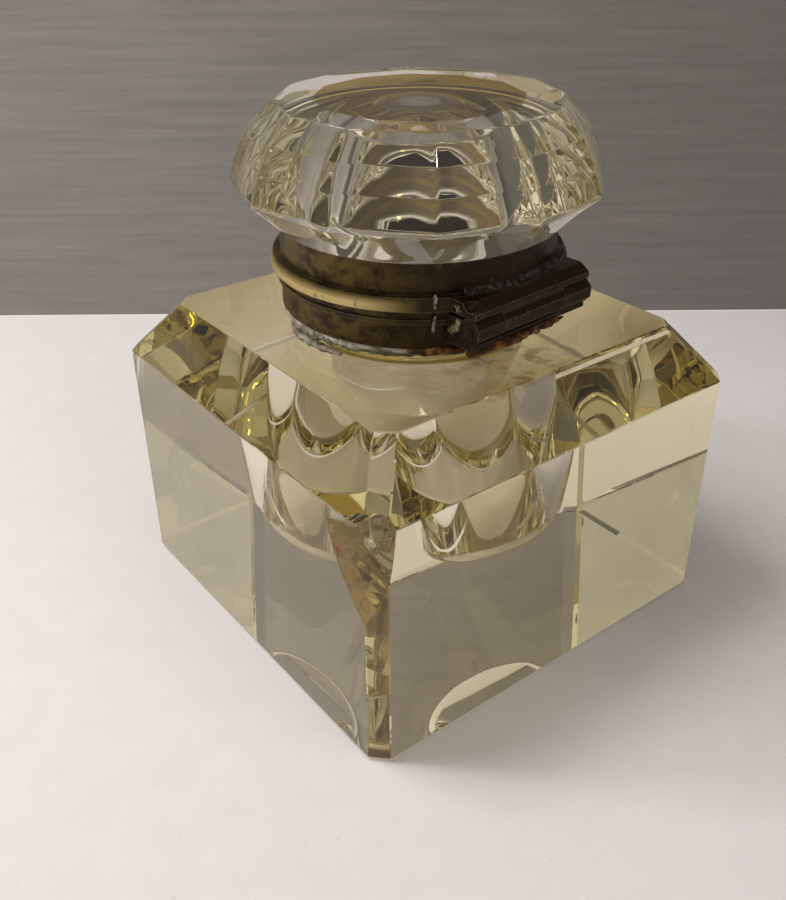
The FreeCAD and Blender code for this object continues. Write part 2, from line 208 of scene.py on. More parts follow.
def glass_surface(tree, normal, roughness):
    """Clear glass. Light for what lies behind it goes straight through, tinted by where the lit point lies.

    The lit point is where the shadow ray began. A point under the block gets a pale shade that deepens
    towards the near corner, and a point beside the block gets the dark one.
    """
    clear = tree.principled(Base_Color=(1, 1, 1, 1), Roughness=roughness, IOR=GLASS_INDEX,
                            Transmission_Weight=1.0, Normal=normal)
    through = tree.node("ShaderNodeBsdfTransparent")
    path, hit = tree.node("ShaderNodeLightPath"), tree.node("ShaderNodeNewGeometry")
    back = tree.vector("SCALE", hit.outputs["Incoming"], scale=path.outputs["Ray Length"])
    lit_point = tree.vector("ADD", hit.outputs["Position"], back)
    x, y, _ = tree.axes(tree.vector("ABSOLUTE", lit_point))
    beside = tree.range(tree.math("MAXIMUM", x, y), HALF - SHADE_EDGE, HALF)
    towards_front = tree.range(tree.along(NEAR_CORNER, lit_point), -SHADE_REACH, SHADE_REACH)
    under = tree.mix(towards_front, SHADE_UNDER_BACK, SHADE_UNDER_FRONT)
    tree.join(tree.mix(beside, under, SHADE_BESIDE_GLASS), through.inputs["Color"])
    return tree.shade(path.outputs["Is Shadow Ray"], clear, through.outputs[0])


def glass_volume(tree):
    body = tree.node("ShaderNodeVolumeAbsorption")
    body.inputs["Color"].default_value = GLASS_TINT
    body.inputs["Density"].default_value = GLASS_DENSITY
    return body.outputs[0]


def polished_glass(tree):
    """Finish of both pieces of glass: faint waviness, tiny pits and hairline scratches."""
    waves = tree.noise(9 * MM, detail=1.0)
    pits = tree.range(tree.noise(0.5 * MM, detail=2.0), 0.72, 0.80)
    normal = tree.bump(pits, 0.02 * MM, 0.3, tree.bump(waves, 0.05 * MM, 0.25))
    scratch = tree.range(tree.noise(1.2 * MM, stretch=(1.0, 1.0, 6.0), detail=3.0), 0.62, 0.75)
    return glass_surface(tree, normal, tree.math("MULTIPLY", scratch, 0.02))


def rust_on_top(tree):
    """Where rust has washed from the hinge onto the block's flat top."""
    on_top = tree.range(tree.axes()[2], BLOCK_TOP - 1.0 * MM, BLOCK_TOP - 0.3 * MM)
    behind = tree.near(RUST_SPOT, RUST_SPREAD, RUST_SPREAD)
    blotches = tree.range(tree.noise(2.6 * MM, detail=6.0, rough=0.65), 0.44, 0.62)
    return tree.product(on_top, behind, blotches, RUST_STRENGTH)


def film_in_chip(tree):
    """Where a brown film lies on the broken surface of the large chip."""
    upper = tree.near_line(CHIP_TIP, CHIP_MIDDLE, 0.5 * MM, 1.3 * MM)
    lower = tree.near_line(CHIP_MIDDLE, CHIP_FOOT, 0.6 * MM, 1.5 * MM)
    broken = tree.range(tree.axes()[0], HALF - BREAK_START, HALF - BREAK_FULL, smooth=False)
    streaks = tree.range(tree.noise(1.6 * MM, detail=5.0, stretch=(1.0, 1.6, 0.5)), 0.30, 0.60, 0.25, 0.80)
    return tree.product(tree.math("MAXIMUM", upper, lower), broken, streaks)


def block_glass():
    tree = Tree("block_glass")
    glass = polished_glass(tree)
    rust, brown = rust_on_top(tree), film_in_chip(tree)
    patches = tree.range(tree.noise(2.0 * MM, detail=3.0), 0.5, 0.62)
    film = tree.mix(patches, CHIP_FILM_BROWN, CHIP_FILM_RED)
    colour = tree.mix(tree.range(brown, 0.0, 0.2), RUST_STAIN, film)
    dirt = tree.principled(Base_Color=colour, Roughness=0.5)
    return tree.finish(tree.shade(tree.math("MAXIMUM", rust, brown), glass, dirt), glass_volume(tree))


def lid_glass():
    tree = Tree("lid_glass")
    return tree.finish(polished_glass(tree), glass_volume(tree))


# ---- metal, plaster and rust ----

PATINA = (0.012, 0.008, 0.005, 1), (0.050, 0.030, 0.016, 1)
OLIVE_BRASS = (0.10, 0.075, 0.022, 1), (0.22, 0.165, 0.045, 1)
YELLOW_BRASS = (0.52, 0.40, 0.14, 1), (0.68, 0.56, 0.26, 1)
VERDIGRIS = (0.07, 0.075, 0.035, 1)
SCUFF = (0.30, 0.25, 0.19, 1)
SCUFF_WIDTH = 0.22 * MM
RUBBED_TOWARDS = Vector((0.55, -0.35, 0))


def tarnished_brass():
    """Dark patina, olive away from the hinge, yellow on the flange's edge and scuffed on the arrises."""
    tree = Tree("tarnished_brass")
    height = tree.axes()[2]
    cloud = tree.noise(3.2 * MM, detail=8.0, rough=0.62, stretch=(1.0, 1.0, 1.4))
    fine = tree.noise(0.5 * MM, detail=6.0, rough=0.7)
    side = tree.along(RUBBED_TOWARDS)
    above_joint = tree.range(height, BAND_LOW.z - 0.3 * MM, BAND_LOW.z)
    on_flange = tree.range(height, BAND_LOW.z + 1.9 * MM, BAND_LOW.z + 1.0 * MM)
    wear = tree.product(tree.range(side, -4 * MM, 13 * MM), tree.range(cloud, 0.38, 0.60))
    worn_edge = tree.product(above_joint, on_flange, tree.range(side, 1 * MM, 7 * MM))
    dulled = tree.mix(wear, tree.mix(fine, *PATINA), tree.mix(fine, *OLIVE_BRASS))
    colour = tree.mix(worn_edge, dulled, tree.mix(fine, *YELLOW_BRASS))
    green = tree.product(tree.range(tree.noise(1.1 * MM, detail=7.0), 0.60, 0.70), 0.6)
    colour = tree.mix(green, colour, VERDIGRIS)

    rounded = tree.node("ShaderNodeBevel", samples=4)
    rounded.inputs["Radius"].default_value = SCUFF_WIDTH
    sharp = tree.node("ShaderNodeNewGeometry").outputs["Normal"]
    facing = tree.vector("DOT_PRODUCT", rounded.outputs[0], sharp)
    scuffed = tree.product(tree.range(facing, 0.985, 0.90), tree.range(fine, 0.35, 0.6, 0.15, 0.75))
    colour = tree.mix(scuffed, colour, SCUFF)

    grain = tree.math("ADD", cloud, tree.math("MULTIPLY", fine, 0.4))
    roughness = tree.range(grain, 0.4, 1.0, 0.28, 0.62)
    normal = tree.bump(fine, 0.05 * MM, 0.5, tree.bump(cloud, 0.16 * MM, 0.5))
    return tree.finish(tree.principled(Base_Color=colour, Metallic=0.85, Roughness=roughness, Normal=normal))


WHITE_PLASTER = (0.52, 0.50, 0.44, 1), (0.84, 0.82, 0.76, 1)
STAINED_PLASTER = (0.40, 0.31, 0.19, 1)
AGED_PLASTER = (0.15, 0.11, 0.075, 1), (0.40, 0.35, 0.28, 1)
YELLOWED_PLASTER = (0.42, 0.32, 0.12, 1)
CLEAN_PLASTER = (0.86, 0.83, 0.76, 1)
# Heights where the lid's plaster begins and where its clean rims and its yellowed middle fade in.
LID_PLASTER = 57.5 * MM, 58.0 * MM
HIGH_RIM = 62.6 * MM, 63.1 * MM
LOW_RIM = 59.1 * MM, 58.7 * MM
MIDDLE_FROM = 60.2 * MM, 60.5 * MM
MIDDLE_TO = 61.3 * MM, 61.0 * MM


def old_plaster():
    """Stained white plaster; darker in the lid, with two clean rims and a yellowed band between them."""
    tree = Tree("old_plaster")
    height = tree.axes()[2]
    lumps = tree.noise(0.9 * MM, detail=8.0, rough=0.7)
    stain = tree.range(tree.noise(3.5 * MM, detail=5.0), 0.45, 0.68)
    on_block = tree.mix(stain, tree.mix(lumps, *WHITE_PLASTER), STAINED_PLASTER)
    middle = tree.product(tree.range(height, *MIDDLE_FROM), tree.range(height, *MIDDLE_TO), 0.6)
    rims = tree.math("MAXIMUM", tree.range(height, *HIGH_RIM), tree.range(height, *LOW_RIM))
    in_lid = tree.mix(middle, tree.mix(lumps, *AGED_PLASTER), YELLOWED_PLASTER)
    in_lid = tree.mix(rims, in_lid, CLEAN_PLASTER)
    colour = tree.mix(tree.range(height, *LID_PLASTER), on_block, in_lid)
    normal = tree.bump(lumps, 0.25 * MM, 0.8)
    return tree.finish(tree.principled(Base_Color=colour, Roughness=0.85, Normal=normal))


TORN_DARK = (0.045, 0.030, 0.020, 1)
TORN_BRIGHT = (0.44, 0.39, 0.36, 1), (0.40, 0.32, 0.14, 1)


def bare_metal():
    """Torn and scraped metal where the hinge was mended."""
    tree = Tree("bare_metal")
    lumps = tree.noise(0.7 * MM, detail=7.0, rough=0.65)
    bright = tree.mix(tree.range(tree.noise(1.8 * MM, detail=3.0), 0.42, 0.6), *TORN_BRIGHT)
    colour = tree.mix(tree.range(lumps, 0.38, 0.58), TORN_DARK, bright)
    normal = tree.bump(lumps, 0.3 * MM, 0.8)
    return tree.finish(tree.principled(Base_Color=colour, Metallic=0.75, Roughness=0.38, Normal=normal))


RUST = (0.030, 0.014, 0.007, 1), (0.24, 0.095, 0.022, 1)


def rust_crust():
    tree = Tree("rust_crust")
    lumps = tree.noise(0.7 * MM, detail=8.0, rough=0.7)
    colour = tree.mix(tree.range(tree.noise(1.5 * MM, detail=5.0), 0.42, 0.62), *RUST)
    normal = tree.bump(lumps, 0.3 * MM, 0.9)
    return tree.finish(tree.principled(Base_Color=colour, Roughness=0.7, Normal=normal))


RESIDUE = (0.56, 0.53, 0.44, 1), (0.26, 0.235, 0.15, 1)
RESIDUE_BY_HINGE = (0.24, 0.215, 0.145, 1)
AWAY_FROM_HINGE = Vector((0.78, -0.63, 0))


def glassy_plaster():
    """Plaster that has set against the glass and lets some light through; duller towards the hinge."""
    tree = Tree("glassy_plaster")
    lumps = tree.noise(0.9 * MM, detail=7.0, rough=0.6)
    colour = tree.mix(tree.range(tree.noise(1.7 * MM, detail=5.0), 0.42, 0.60), *RESIDUE)
    hinge_side = tree.range(tree.along(AWAY_FROM_HINGE), 9 * MM, 4 * MM)
    colour = tree.mix(hinge_side, colour, RESIDUE_BY_HINGE)
    normal = tree.bump(lumps, 0.35 * MM, 0.8)
    return tree.finish(tree.principled(Base_Color=colour, Roughness=0.30, IOR=1.5, Transmission_Weight=0.5,
                                       Normal=normal))


SOLDER = (0.022, 0.016, 0.012, 1), (0.16, 0.14, 0.12, 1)


def dull_solder():
    tree = Tree("dull_solder")
    lumps = tree.noise(0.8 * MM, detail=6.0, rough=0.6)
    colour = tree.mix(tree.range(lumps, 0.45, 0.75), *SOLDER)
    normal = tree.bump(lumps, 0.2 * MM, 0.7)
    return tree.finish(tree.principled(Base_Color=colour, Metallic=0.8, Roughness=0.42, Normal=normal))


# ---- shapes; from here to the stage, lengths are in millimetres unless they carry MM ----

STEPS = 360
# A side of a square ring spans 45 degrees either way: this many lie on its flat, the rest on the cut corner.
FLAT_SIDE = 42
CORNER_STEPS = 2 * (45 - FLAT_SIDE - 1)

BLOCK_HALF = HALF * TO_MM
TOP = BLOCK_TOP * TO_MM
BEVEL_LOW = 39.3
BEVEL_INSET = 6.6
CORNER_CUT = 2.2
FOOT = 0.6
ARRIS = 0.14

NECK_TOP = BLOCK_HIGH.z * TO_MM
NECK_RADIUS = 17.3
NECK_FLARE = 0.8
NECK_LIP = 0.4

WELL_SIDES = 8
WELL_APOTHEM = 15.0
WELL_TAPER = 0.2078
WELL_FLOOR = 16.5
WELL_FLOOR_RADIUS = 12.9
WELL_FLOOR_ROUND = 3.8
# Rounding of the well's mouth: how far below the neck's top, and how much wider than the bowl.
WELL_MOUTH = ((0.0, 0.7), (0.06, 0.4), (0.2, 0.2), (0.4, 0.07))
WELL_MOUTH_DEPTH = 0.7
PANEL_ROUND = 0.35

LID_SIDES = 12
LID_TURN = -3.5
LID_FOOT = LID_LOW.z * TO_MM
LID_TOP = LID_HIGH.z * TO_MM
# The lid's facets are full at the height of its girdle and gone where it sits in the band.
GIRDLE = 69.1
SEAT = 63.9
LID_OUTLINE = ((15.0, LID_TOP), (20.4, LID_TOP), (23.8, 76.6), (25.6, 73.3), (27.05, GIRDLE), (20.9, 63.45),
               (18.6, 63.45), (18.6, LID_FOOT), (15.6, LID_FOOT))
LID_ROUNDING = (0.5, 1.1, 1.1, 1.0, 0.8, 0.0, 0.5)
FACET_ROUND = 0.16
HOLLOW_APOTHEM = 13.67
HOLLOW_OUTLINE = ((15.6, LID_FOOT), (15.2, 59.0), (14.7, 62.4), (10.1, 73.3), (6.0, 75.9), (3.0, 75.9))
HOLLOW_ROUNDING = (0.3, 1.0, 1.0, 3.0)


def placed(name, data):
    """A new object in the scene."""
    item = bpy.data.objects.new(name, data)
    bpy.context.scene.collection.objects.link(item)
    return item


def skin(name, rings, curved, material):
    """A closed surface through rings of points, flat at both ends; curved says which rows shade smooth."""
    mesh = bpy.data.meshes.new(name)
    points = [tuple(coordinate * MM for coordinate in point) for ring in rings for point in ring]
    count = len(rings[0])
    faces = [tuple(range(count))[::-1]]
    for row in range(len(rings) - 1):
        low, high = row * count, (row + 1) * count
        for step in range(count):
            after = (step + 1) % count
            faces.append((low + step, low + after, high + after, high + step))
    faces.append(tuple(range((len(rings) - 1) * count, len(rings) * count)))
    mesh.from_pydata(points, [], faces)
    smooth = [False] + [flag for flag in curved for _ in range(count)] + [False]
    mesh.polygons.foreach_set("use_smooth", smooth)
    mesh.materials.append(material)
    mesh.update()
    return placed(name, mesh)


def soft_min(first, second, blend):
    """The smaller of two lengths, rounded over where they meet."""
    overlap = max(blend - abs(first - second), 0.0) / blend
    return min(first, second) - overlap * overlap * blend / 4


def panel_radius(angle, sides, apothem, first_corner, blend):
    """Distance to the wall of a regular prism whose corners are slightly rounded."""
    half = math.pi / sides
    offset = (angle - first_corner) % (2 * half) - half
    beside = offset - math.copysign(2 * half, offset)
    return soft_min(apothem / math.cos(offset), apothem / max(math.cos(beside), 0.2), blend)


def filleted(corners, radii, steps=5):
    """A radius-height line with arcs of the given radii in place of its inner corners."""
    line = [Vector(corners[0])]
    for before, corner, after, radius in zip(corners, corners[1:], corners[2:], radii):
        corner = Vector(corner)
        back, ahead = (Vector(before) - corner).normalized(), (Vector(after) - corner).normalized()
        half = back.angle(ahead) / 2
        if radius <= 0:
            line.append(corner)
            continue
        reach = radius / math.tan(half)
        centre = corner + (back + ahead).normalized() * (radius / math.sin(half))
        start, end = corner + back * reach - centre, corner + ahead * reach - centre
        for step in range(steps + 1):
            line.append(centre + start.slerp(end, step / steps).normalized() * radius)
    line.append(Vector(corners[-1]))
    return line


def divided(line, longest):
    """The same line with points added so that no stretch is longer than longest."""
    points = [line[0]]
    for start, end in zip(line, line[1:]):
        pieces = max(1, math.ceil((end - start).length / longest))
        points += [start.lerp(end, piece / pieces) for piece in range(1, pieces + 1)]
    return points


def cut_square(half, height):
    """Ring around a square with cut corners and a fine chamfer on each arris; a point for each degree."""
    side_end = half - CORNER_CUT - ARRIS
    spread = side_end / math.tan(math.radians(FLAT_SIDE))
    cut_start = Vector((half - ARRIS * 0.7, half - CORNER_CUT + ARRIS * 0.7))
    cut_end = Vector((cut_start.y, cut_start.x))
    ring = []
    for side in range(4):
        turn = Matrix.Rotation(side * math.pi / 2, 2)
        for degrees in range(-45, 45):
            size = abs(degrees)
            if size <= FLAT_SIDE:
                local = Vector((half, spread * math.tan(math.radians(size))))
            else:
                local = cut_start.lerp(cut_end, (size - FLAT_SIDE - 1) / CORNER_STEPS)
            local.y = math.copysign(local.y, degrees)
            flat = turn @ local
            ring.append((flat.x, flat.y, height))
    return ring


def round_ring(height, radius_at, first=-45.0):
    """Ring whose radius is radius_at(angle), starting at the azimuth first in degrees."""
    ring = []
    for step in range(STEPS):
        angle = math.radians(first + step * 360 / STEPS)
        radius = radius_at(angle)
        ring.append((radius * math.cos(angle), radius * math.sin(angle), height))
    return ring


def well_line():
    """Radius and height of the well's bowl, from the mouth down to the edge of its floor."""
    lean = math.atan(WELL_TAPER)
    centre_radius = WELL_FLOOR_RADIUS + WELL_FLOOR_ROUND * (WELL_TAPER - 1 / math.cos(lean))
    centre_height = WELL_FLOOR + WELL_FLOOR_ROUND
    arc, last = [], 14
    for step in range(last + 1):
        angle = -lean + (lean - math.pi / 2) * step / last
        arc.append(Vector((centre_radius + WELL_FLOOR_ROUND * math.cos(angle),
                           centre_height + WELL_FLOOR_ROUND * math.sin(angle))))
    mouth = Vector((WELL_FLOOR_RADIUS + (NECK_TOP - WELL_FLOOR) * WELL_TAPER, NECK_TOP - WELL_MOUTH_DEPTH))
    return divided([mouth, arc[0]], 0.55) + arc[1:]


def well_radius(bowl, spread=0.0):
    """Radius of the well at an angle: the round bowl, cut by eight flat panels, widened by spread."""
    def radius_at(angle):
        wall = panel_radius(angle, WELL_SIDES, WELL_APOTHEM, 0.0, PANEL_ROUND)
        return soft_min(wall, bowl, 0.8) + spread
    return radius_at


# ---- damage ----

CHIP_CENTRE = Vector((96.5, 48.4, 44.7))
CHIP_RADIUS = 67.7
CHIP_STEP_Y, CHIP_STEP_Z = 23.6, 36.9
CHIP_STEP_LEAN = math.radians(24.0)
CHIP_START, CHIP_LENGTH, CHIP_DROP = -4.0, 26.0, 20.0
CHIP_CELLS = 90
CHIP_OUTSIDE = 46.0
STEP_RAGGED = 0.35
BLOW_ALONG, BLOW_ACROSS = 10.5, -2.0
RIPPLE_HEIGHT, RIPPLE_RATE, RIPPLE_FADE = 0.028, 3.4, 14.0
BREAK_GRAIN = 0.022
FLAKE = (37.2, 37.4, 41.6), 7.0, 0.16
NICK = (27.6, -27.6, 48.1), 1.3, 0.3


def conchoid(along, across):
    """Ripples of a shell-shaped break, spreading from a blow on the corner."""
    away = math.hypot(along - BLOW_ALONG, across - BLOW_ACROSS)
    drift = noise.noise(Vector((along * 0.3, across * 0.3, 1.0)))
    ripple = math.sin(away * RIPPLE_RATE + 1.2 * drift)
    grain = noise.fractal(Vector((along * 0.7, across * 0.7, 4.0)), 0.9, 2.1, 4)
    return RIPPLE_HEIGHT * ripple * math.exp(-away / RIPPLE_FADE) + BREAK_GRAIN * grain


def chip_tool():
    """Solid that takes the scoop out of the near corner; its inner face carries the ripples."""
    inner, outer = [], []
    for row in range(CHIP_CELLS + 1):
        for column in range(CHIP_CELLS + 1):
            along = CHIP_START + CHIP_LENGTH * column / CHIP_CELLS
            across = -CHIP_DROP * row / CHIP_CELLS
            if row == 0:
                across += STEP_RAGGED * noise.noise(Vector((along * 0.8, 7.0, 0.0)))
            y = CHIP_STEP_Y + along * math.cos(CHIP_STEP_LEAN) - across * math.sin(CHIP_STEP_LEAN)
            z = CHIP_STEP_Z + along * math.sin(CHIP_STEP_LEAN) + across * math.cos(CHIP_STEP_LEAN)
            away = math.hypot(y - CHIP_CENTRE.y, z - CHIP_CENTRE.z)
            depth = math.sqrt(max(CHIP_RADIUS * CHIP_RADIUS - away * away, 1.0))
            inner.append((CHIP_CENTRE.x - depth - conchoid(along, across), y, z))
            outer.append((CHIP_OUTSIDE, y, z))
    return grid_solid("chip_tool", inner, outer, CHIP_CELLS)


def grid_solid(name, inner, outer, cells):
    """Closes two square grids of points of the same size into one solid."""
    points = [tuple(value * MM for value in point) for point in inner + outer]
    shift = len(inner)
    across = cells + 1
    faces = []
    for row in range(cells):
        for column in range(cells):
            first = row * across + column
            quad = (first, first + 1, first + across + 1, first + across)
            faces += [quad, tuple(corner + shift for corner in quad[::-1])]
    top = list(range(cells))
    right = [row * across + cells for row in range(cells)]
    bottom = [cells * across + column for column in range(cells, 0, -1)]
    left = [row * across for row in range(cells, 0, -1)]
    border = top + right + bottom + left
    for first, second in zip(border, border[1:] + border[:1]):
        faces.append((second, first, first + shift, second + shift))
    mesh = bpy.data.meshes.new(name)
    mesh.from_pydata(points, [], faces)
    mesh.polygons.foreach_set("use_smooth", [True] * len(faces))
    shaped = bmesh.new()
    shaped.from_mesh(mesh)
    bmesh.ops.recalc_face_normals(shaped, faces=shaped.faces)
    shaped.to_mesh(mesh)
    shaped.free()
    return placed(name, mesh)


def flake_tool(name, centre, radius, ragged):
    """A rough ball that breaks a flake out of an edge; ragged is the height of its roughness."""
    ball = bmesh.new()
    bmesh.ops.create_icosphere(ball, subdivisions=5, radius=radius * MM)
    for vertex in ball.verts:
        grain = noise.fractal(vertex.co * (1.1 * TO_MM), 0.9, 2.0, 4)
        vertex.co += vertex.co.normalized() * grain * ragged * MM
        vertex.co += Vector(centre) * MM
    mesh = bpy.data.meshes.new(name)
    ball.to_mesh(mesh)
    ball.free()
    mesh.polygons.foreach_set("use_smooth", [True] * len(mesh.polygons))
    return placed(name, mesh)


def carve(piece, tools):
    """Takes the tools' shapes out of a piece and removes the tools."""
    for tool in tools:
        cutter = piece.modifiers.new(tool.name, "BOOLEAN")
        cutter.object = tool
        cutter.operation = "DIFFERENCE"
        cutter.solver = "EXACT"
    graph = bpy.context.evaluated_depsgraph_get()
    carved = bpy.data.meshes.new_from_object(piece.evaluated_get(graph))
    piece.modifiers.clear()
    piece.data = carved
    for tool in tools:
        bpy.data.objects.remove(tool)


# ---- the two pieces of glass ----

def glass_block_piece(material):
    """Bevelled block, neck and well as one skin, from the underside up the outside and down into the well."""
    inner_half = BLOCK_HALF - BEVEL_INSET
    rings = [cut_square(BLOCK_HALF - FOOT, 0.0), cut_square(BLOCK_HALF, FOOT),
             cut_square(BLOCK_HALF, BEVEL_LOW - ARRIS),
             cut_square(BLOCK_HALF - ARRIS * 0.5, BEVEL_LOW + ARRIS * 0.6),
             cut_square(inner_half + ARRIS * 0.5, TOP - ARRIS * 0.6), cut_square(inner_half - ARRIS, TOP)]
    curved = [False] * len(rings)
    flare = [(NECK_RADIUS + NECK_FLARE + 0.3, TOP), (NECK_RADIUS, TOP), (NECK_RADIUS, NECK_TOP),
             (NECK_RADIUS - 1.0, NECK_TOP)]
    line = divided(filleted(flare, (NECK_FLARE, NECK_LIP), 8), 0.8)
    for radius, height in line:
        rings.append(round_ring(height, lambda angle, radius=radius: radius))
    curved += [True] * (len(line) - 1)
    bowl = well_line()
    for drop, spread in WELL_MOUTH:
        rings.append(round_ring(NECK_TOP - drop, well_radius(bowl[0].x, spread)))
    curved += [False] + [True] * len(WELL_MOUTH)
    for radius, height in bowl:
        rings.append(round_ring(height, well_radius(radius)))
    curved += [True] * (len(bowl) - 1)
    piece = skin("block_of_cut_glass", rings, curved, material)
    carve(piece, [chip_tool(), flake_tool("flake_tool", *FLAKE), flake_tool("nick_tool", *NICK)])
    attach(piece, "base")
    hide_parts("glass_block")


def glass_lid_piece(material):
    """Mushroom lid: twelve facets that fade out below the girdle, and eight panels in the hollow."""
    turn = math.radians(LID_TURN)
    rings = []
    for radius, height in divided(filleted(LID_OUTLINE, LID_ROUNDING), 1.0):
        facet = min(max((height - SEAT) / (GIRDLE - SEAT), 0.0), 1.0)

        def outside_at(angle, radius=radius, facet=facet):
            flat = radius * math.cos(math.pi / LID_SIDES)
            panel = panel_radius(angle, LID_SIDES, flat, turn, FACET_ROUND)
            return radius * (1 - facet) + panel * facet
        rings.append(round_ring(height, outside_at, LID_TURN))
    for radius, height in divided(filleted(HOLLOW_OUTLINE, HOLLOW_ROUNDING), 0.7)[1:]:
        def hollow_at(angle, radius=radius):
            wall = panel_radius(angle, WELL_SIDES, HOLLOW_APOTHEM, turn, PANEL_ROUND)
            return soft_min(wall, radius, 0.3)
        rings.append(round_ring(height, hollow_at, LID_TURN))
    piece = skin("faceted_glass_lid", rings[::-1], [True] * (len(rings) - 1), material)
    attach(piece, "lid")
    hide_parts("glass_lid")


# ---- plaster, rust and torn metal on the outside of the mount ----

MOUNT_TURN = 4.0
BEAD_SIDES = 24
BEAD_STEP = 0.22
UPWARD = Vector((0, 0, 1))
OUTWARD = Vector((math.cos(math.radians(60)), math.sin(math.radians(60)), 0))


def run_of_lumps(name, path, up, size, material, body, rough=0.45):
    """An uneven bead along a path; size is its half width and its half height, which is measured along up."""
    width, height = size
    points = divided([Vector(point) for point in path], BEAD_STEP)
    rings = []
    for number, point in enumerate(points):
        before, after = points[max(number - 1, 0)], points[min(number + 1, len(points) - 1)]
        ahead = (after - before).normalized()
        rise = (up - ahead * ahead.dot(up)).normalized()
        aside = ahead.cross(rise)
        taper = math.sin(math.pi * (number + 0.5) / len(points)) ** 0.4
        ring = []
        for step in range(BEAD_SIDES):
            angle = 2 * math.pi * step / BEAD_SIDES
            offset = aside * (math.sin(angle) * width) + rise * (math.cos(angle) * height)
            grain = noise.fractal((point + offset) * 0.9, 0.8, 2.1, 4) + 0.6 * noise.noise(point * 0.45)
            ring.append(tuple(point + offset * (taper * (1 + rough * grain))))
        rings.append(ring)
    piece = skin(name, rings, [True] * (len(rings) - 1), material)
    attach(piece, body)


def around(radius, height, first, last, step=3.0):
    """Arc about the mount's axis between two azimuths in degrees."""
    count = max(1, round((last - first) / step))
    angles = [math.radians(first + (last - first) * number / count) for number in range(count + 1)]
    return [(radius * math.cos(angle), radius * math.sin(angle), height) for angle in angles]


def by_hinge(along, back, height):
    """A point given along the hinge and behind the mount's axis, which is turned with the mount."""
    turned = Matrix.Rotation(math.radians(MOUNT_TURN), 2) @ Vector((along, back))
    return (turned.x, turned.y, height)


def add_residue():
    residue, crust, metal = glassy_plaster(), rust_crust(), bare_metal()
    squeezed_out = around(19.5, 50.45, -55, 62)
    smeared = around(19.6, 48.4, -22, 18)
    collar_foot = around(20.5, 50.9, 47, 72)
    under_hinge = [by_hinge(9.5, 20.6, 51.9), by_hinge(11.0, 22.2, 52.0), by_hinge(6.0, 22.6, 52.1),
                   by_hinge(-7.0, 22.6, 52.2)]
    run_of_lumps("plaster_residue", squeezed_out, UPWARD, (0.95, 0.95), residue, "base")
    run_of_lumps("plaster_smear", smeared, UPWARD, (0.7, 0.45), residue, "base")
    run_of_lumps("collar_rust", collar_foot, UPWARD, (0.75, 0.5), crust, "base")
    run_of_lumps("hinge_rust", under_hinge, UPWARD, (0.8, 0.45), crust, "base", 0.7)

    low_tear = [(11.55, 17.45, 53.6), (11.75, 17.95, 55.2), (11.9, 18.3, 56.6)]
    high_tear = [(11.95, 18.3, 57.5), (11.8, 18.2, 58.6), (11.2, 17.5, 59.2)]
    low_mend = [by_hinge(11.2, 18.4, 54.2), by_hinge(11.6, 19.6, 55.0), by_hinge(11.4, 20.3, 56.4)]
    high_mend = [by_hinge(10.2, 18.6, 58.6), by_hinge(10.9, 19.3, 58.3), by_hinge(11.6, 20.4, 57.7)]
    run_of_lumps("lower_tear", low_tear, OUTWARD, (0.35, 0.42), metal, "base", 0.8)
    run_of_lumps("upper_tear", high_tear, OUTWARD, (0.30, 0.38), metal, "lid", 0.8)
    run_of_lumps("lower_mend", low_mend, OUTWARD, (0.65, 0.65), metal, "base", 0.8)
    run_of_lumps("upper_mend", high_mend, OUTWARD, (0.60, 0.65), metal, "lid", 0.8)


def give(material, *names):
    """Puts a material on CAD nodes."""
    for name in names:
        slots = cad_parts[name].data.materials
        slots.clear()
        slots.append(material)


# ---- stage, lights and camera ----

VIEW_TURN, VIEW_RISE, VIEW_ROLL = (math.radians(angle) for angle in (142.6, 31.45, -0.44))
CAMERA_PLACE = Vector((90.34, 111.59, 110.53)) * MM
CAMERA_LENS = 40.24
CAMERA_SENSOR = 36.0

ROOM = 1.4
FLOOR_HEIGHT = -0.2 * MM
WALL_BEHIND = 108.8 * MM
FLOOR_TONES = (0.54, 0.512, 0.508, 1), (0.60, 0.570, 0.565, 1)
FLOOR_SPECK = (0.42, 0.39, 0.35, 1)
WALL_TONES = (0.13, 0.121, 0.115, 1), (0.31, 0.290, 0.276, 1)
# WALL_SHADE is painted shade, mixed into the board more and more towards the right.
WALL_SHADE = (0.05, 0.044, 0.040, 1)

# Name, place, size, watts, colour, whether it is seen in the glass.
LAMPS = (
    ("overhead", (0.15, -0.12, 0.42), (0.16, 0.16), 1.55, (1.0, 0.975, 0.97), False),
    ("key", (0.31, -0.25, 0.27), (0.08, 0.08), 1.1, (1.0, 0.98, 0.97), False),
    ("ceiling_lamp", (0.05, 0.12, 0.45), (0.045, 0.03), 0.10, (1.0, 0.98, 0.95), True),
    ("fill", (-0.068, 0.306, 0.306), (0.17, 0.136), 0.30, (1.0, 0.98, 0.97), False),
)
HORIZON = (0.19, 0.176, 0.155, 1)
ZENITH = (0.62, 0.575, 0.505, 1)


def stage_plane(name, corners, material):
    mesh = bpy.data.meshes.new(name)
    mesh.from_pydata([tuple(corner) for corner in corners], [], [(0, 1, 2, 3)])
    mesh.materials.append(material)
    placed(name, mesh)


def floor_material():
    """Pale satin worktop with a faint mottle and a few specks."""
    tree = Tree("pale_floor")
    mottle = tree.noise(6 * MM, detail=6.0)
    specks = tree.range(tree.noise(1.3 * MM, detail=2.0), 0.70, 0.76)
    colour = tree.mix(tree.product(specks, 0.35), tree.mix(mottle, *FLOOR_TONES), FLOOR_SPECK)
    normal = tree.bump(mottle, 0.05 * MM, 0.3)
    return tree.finish(tree.principled(Base_Color=colour, Roughness=0.38, Normal=normal))


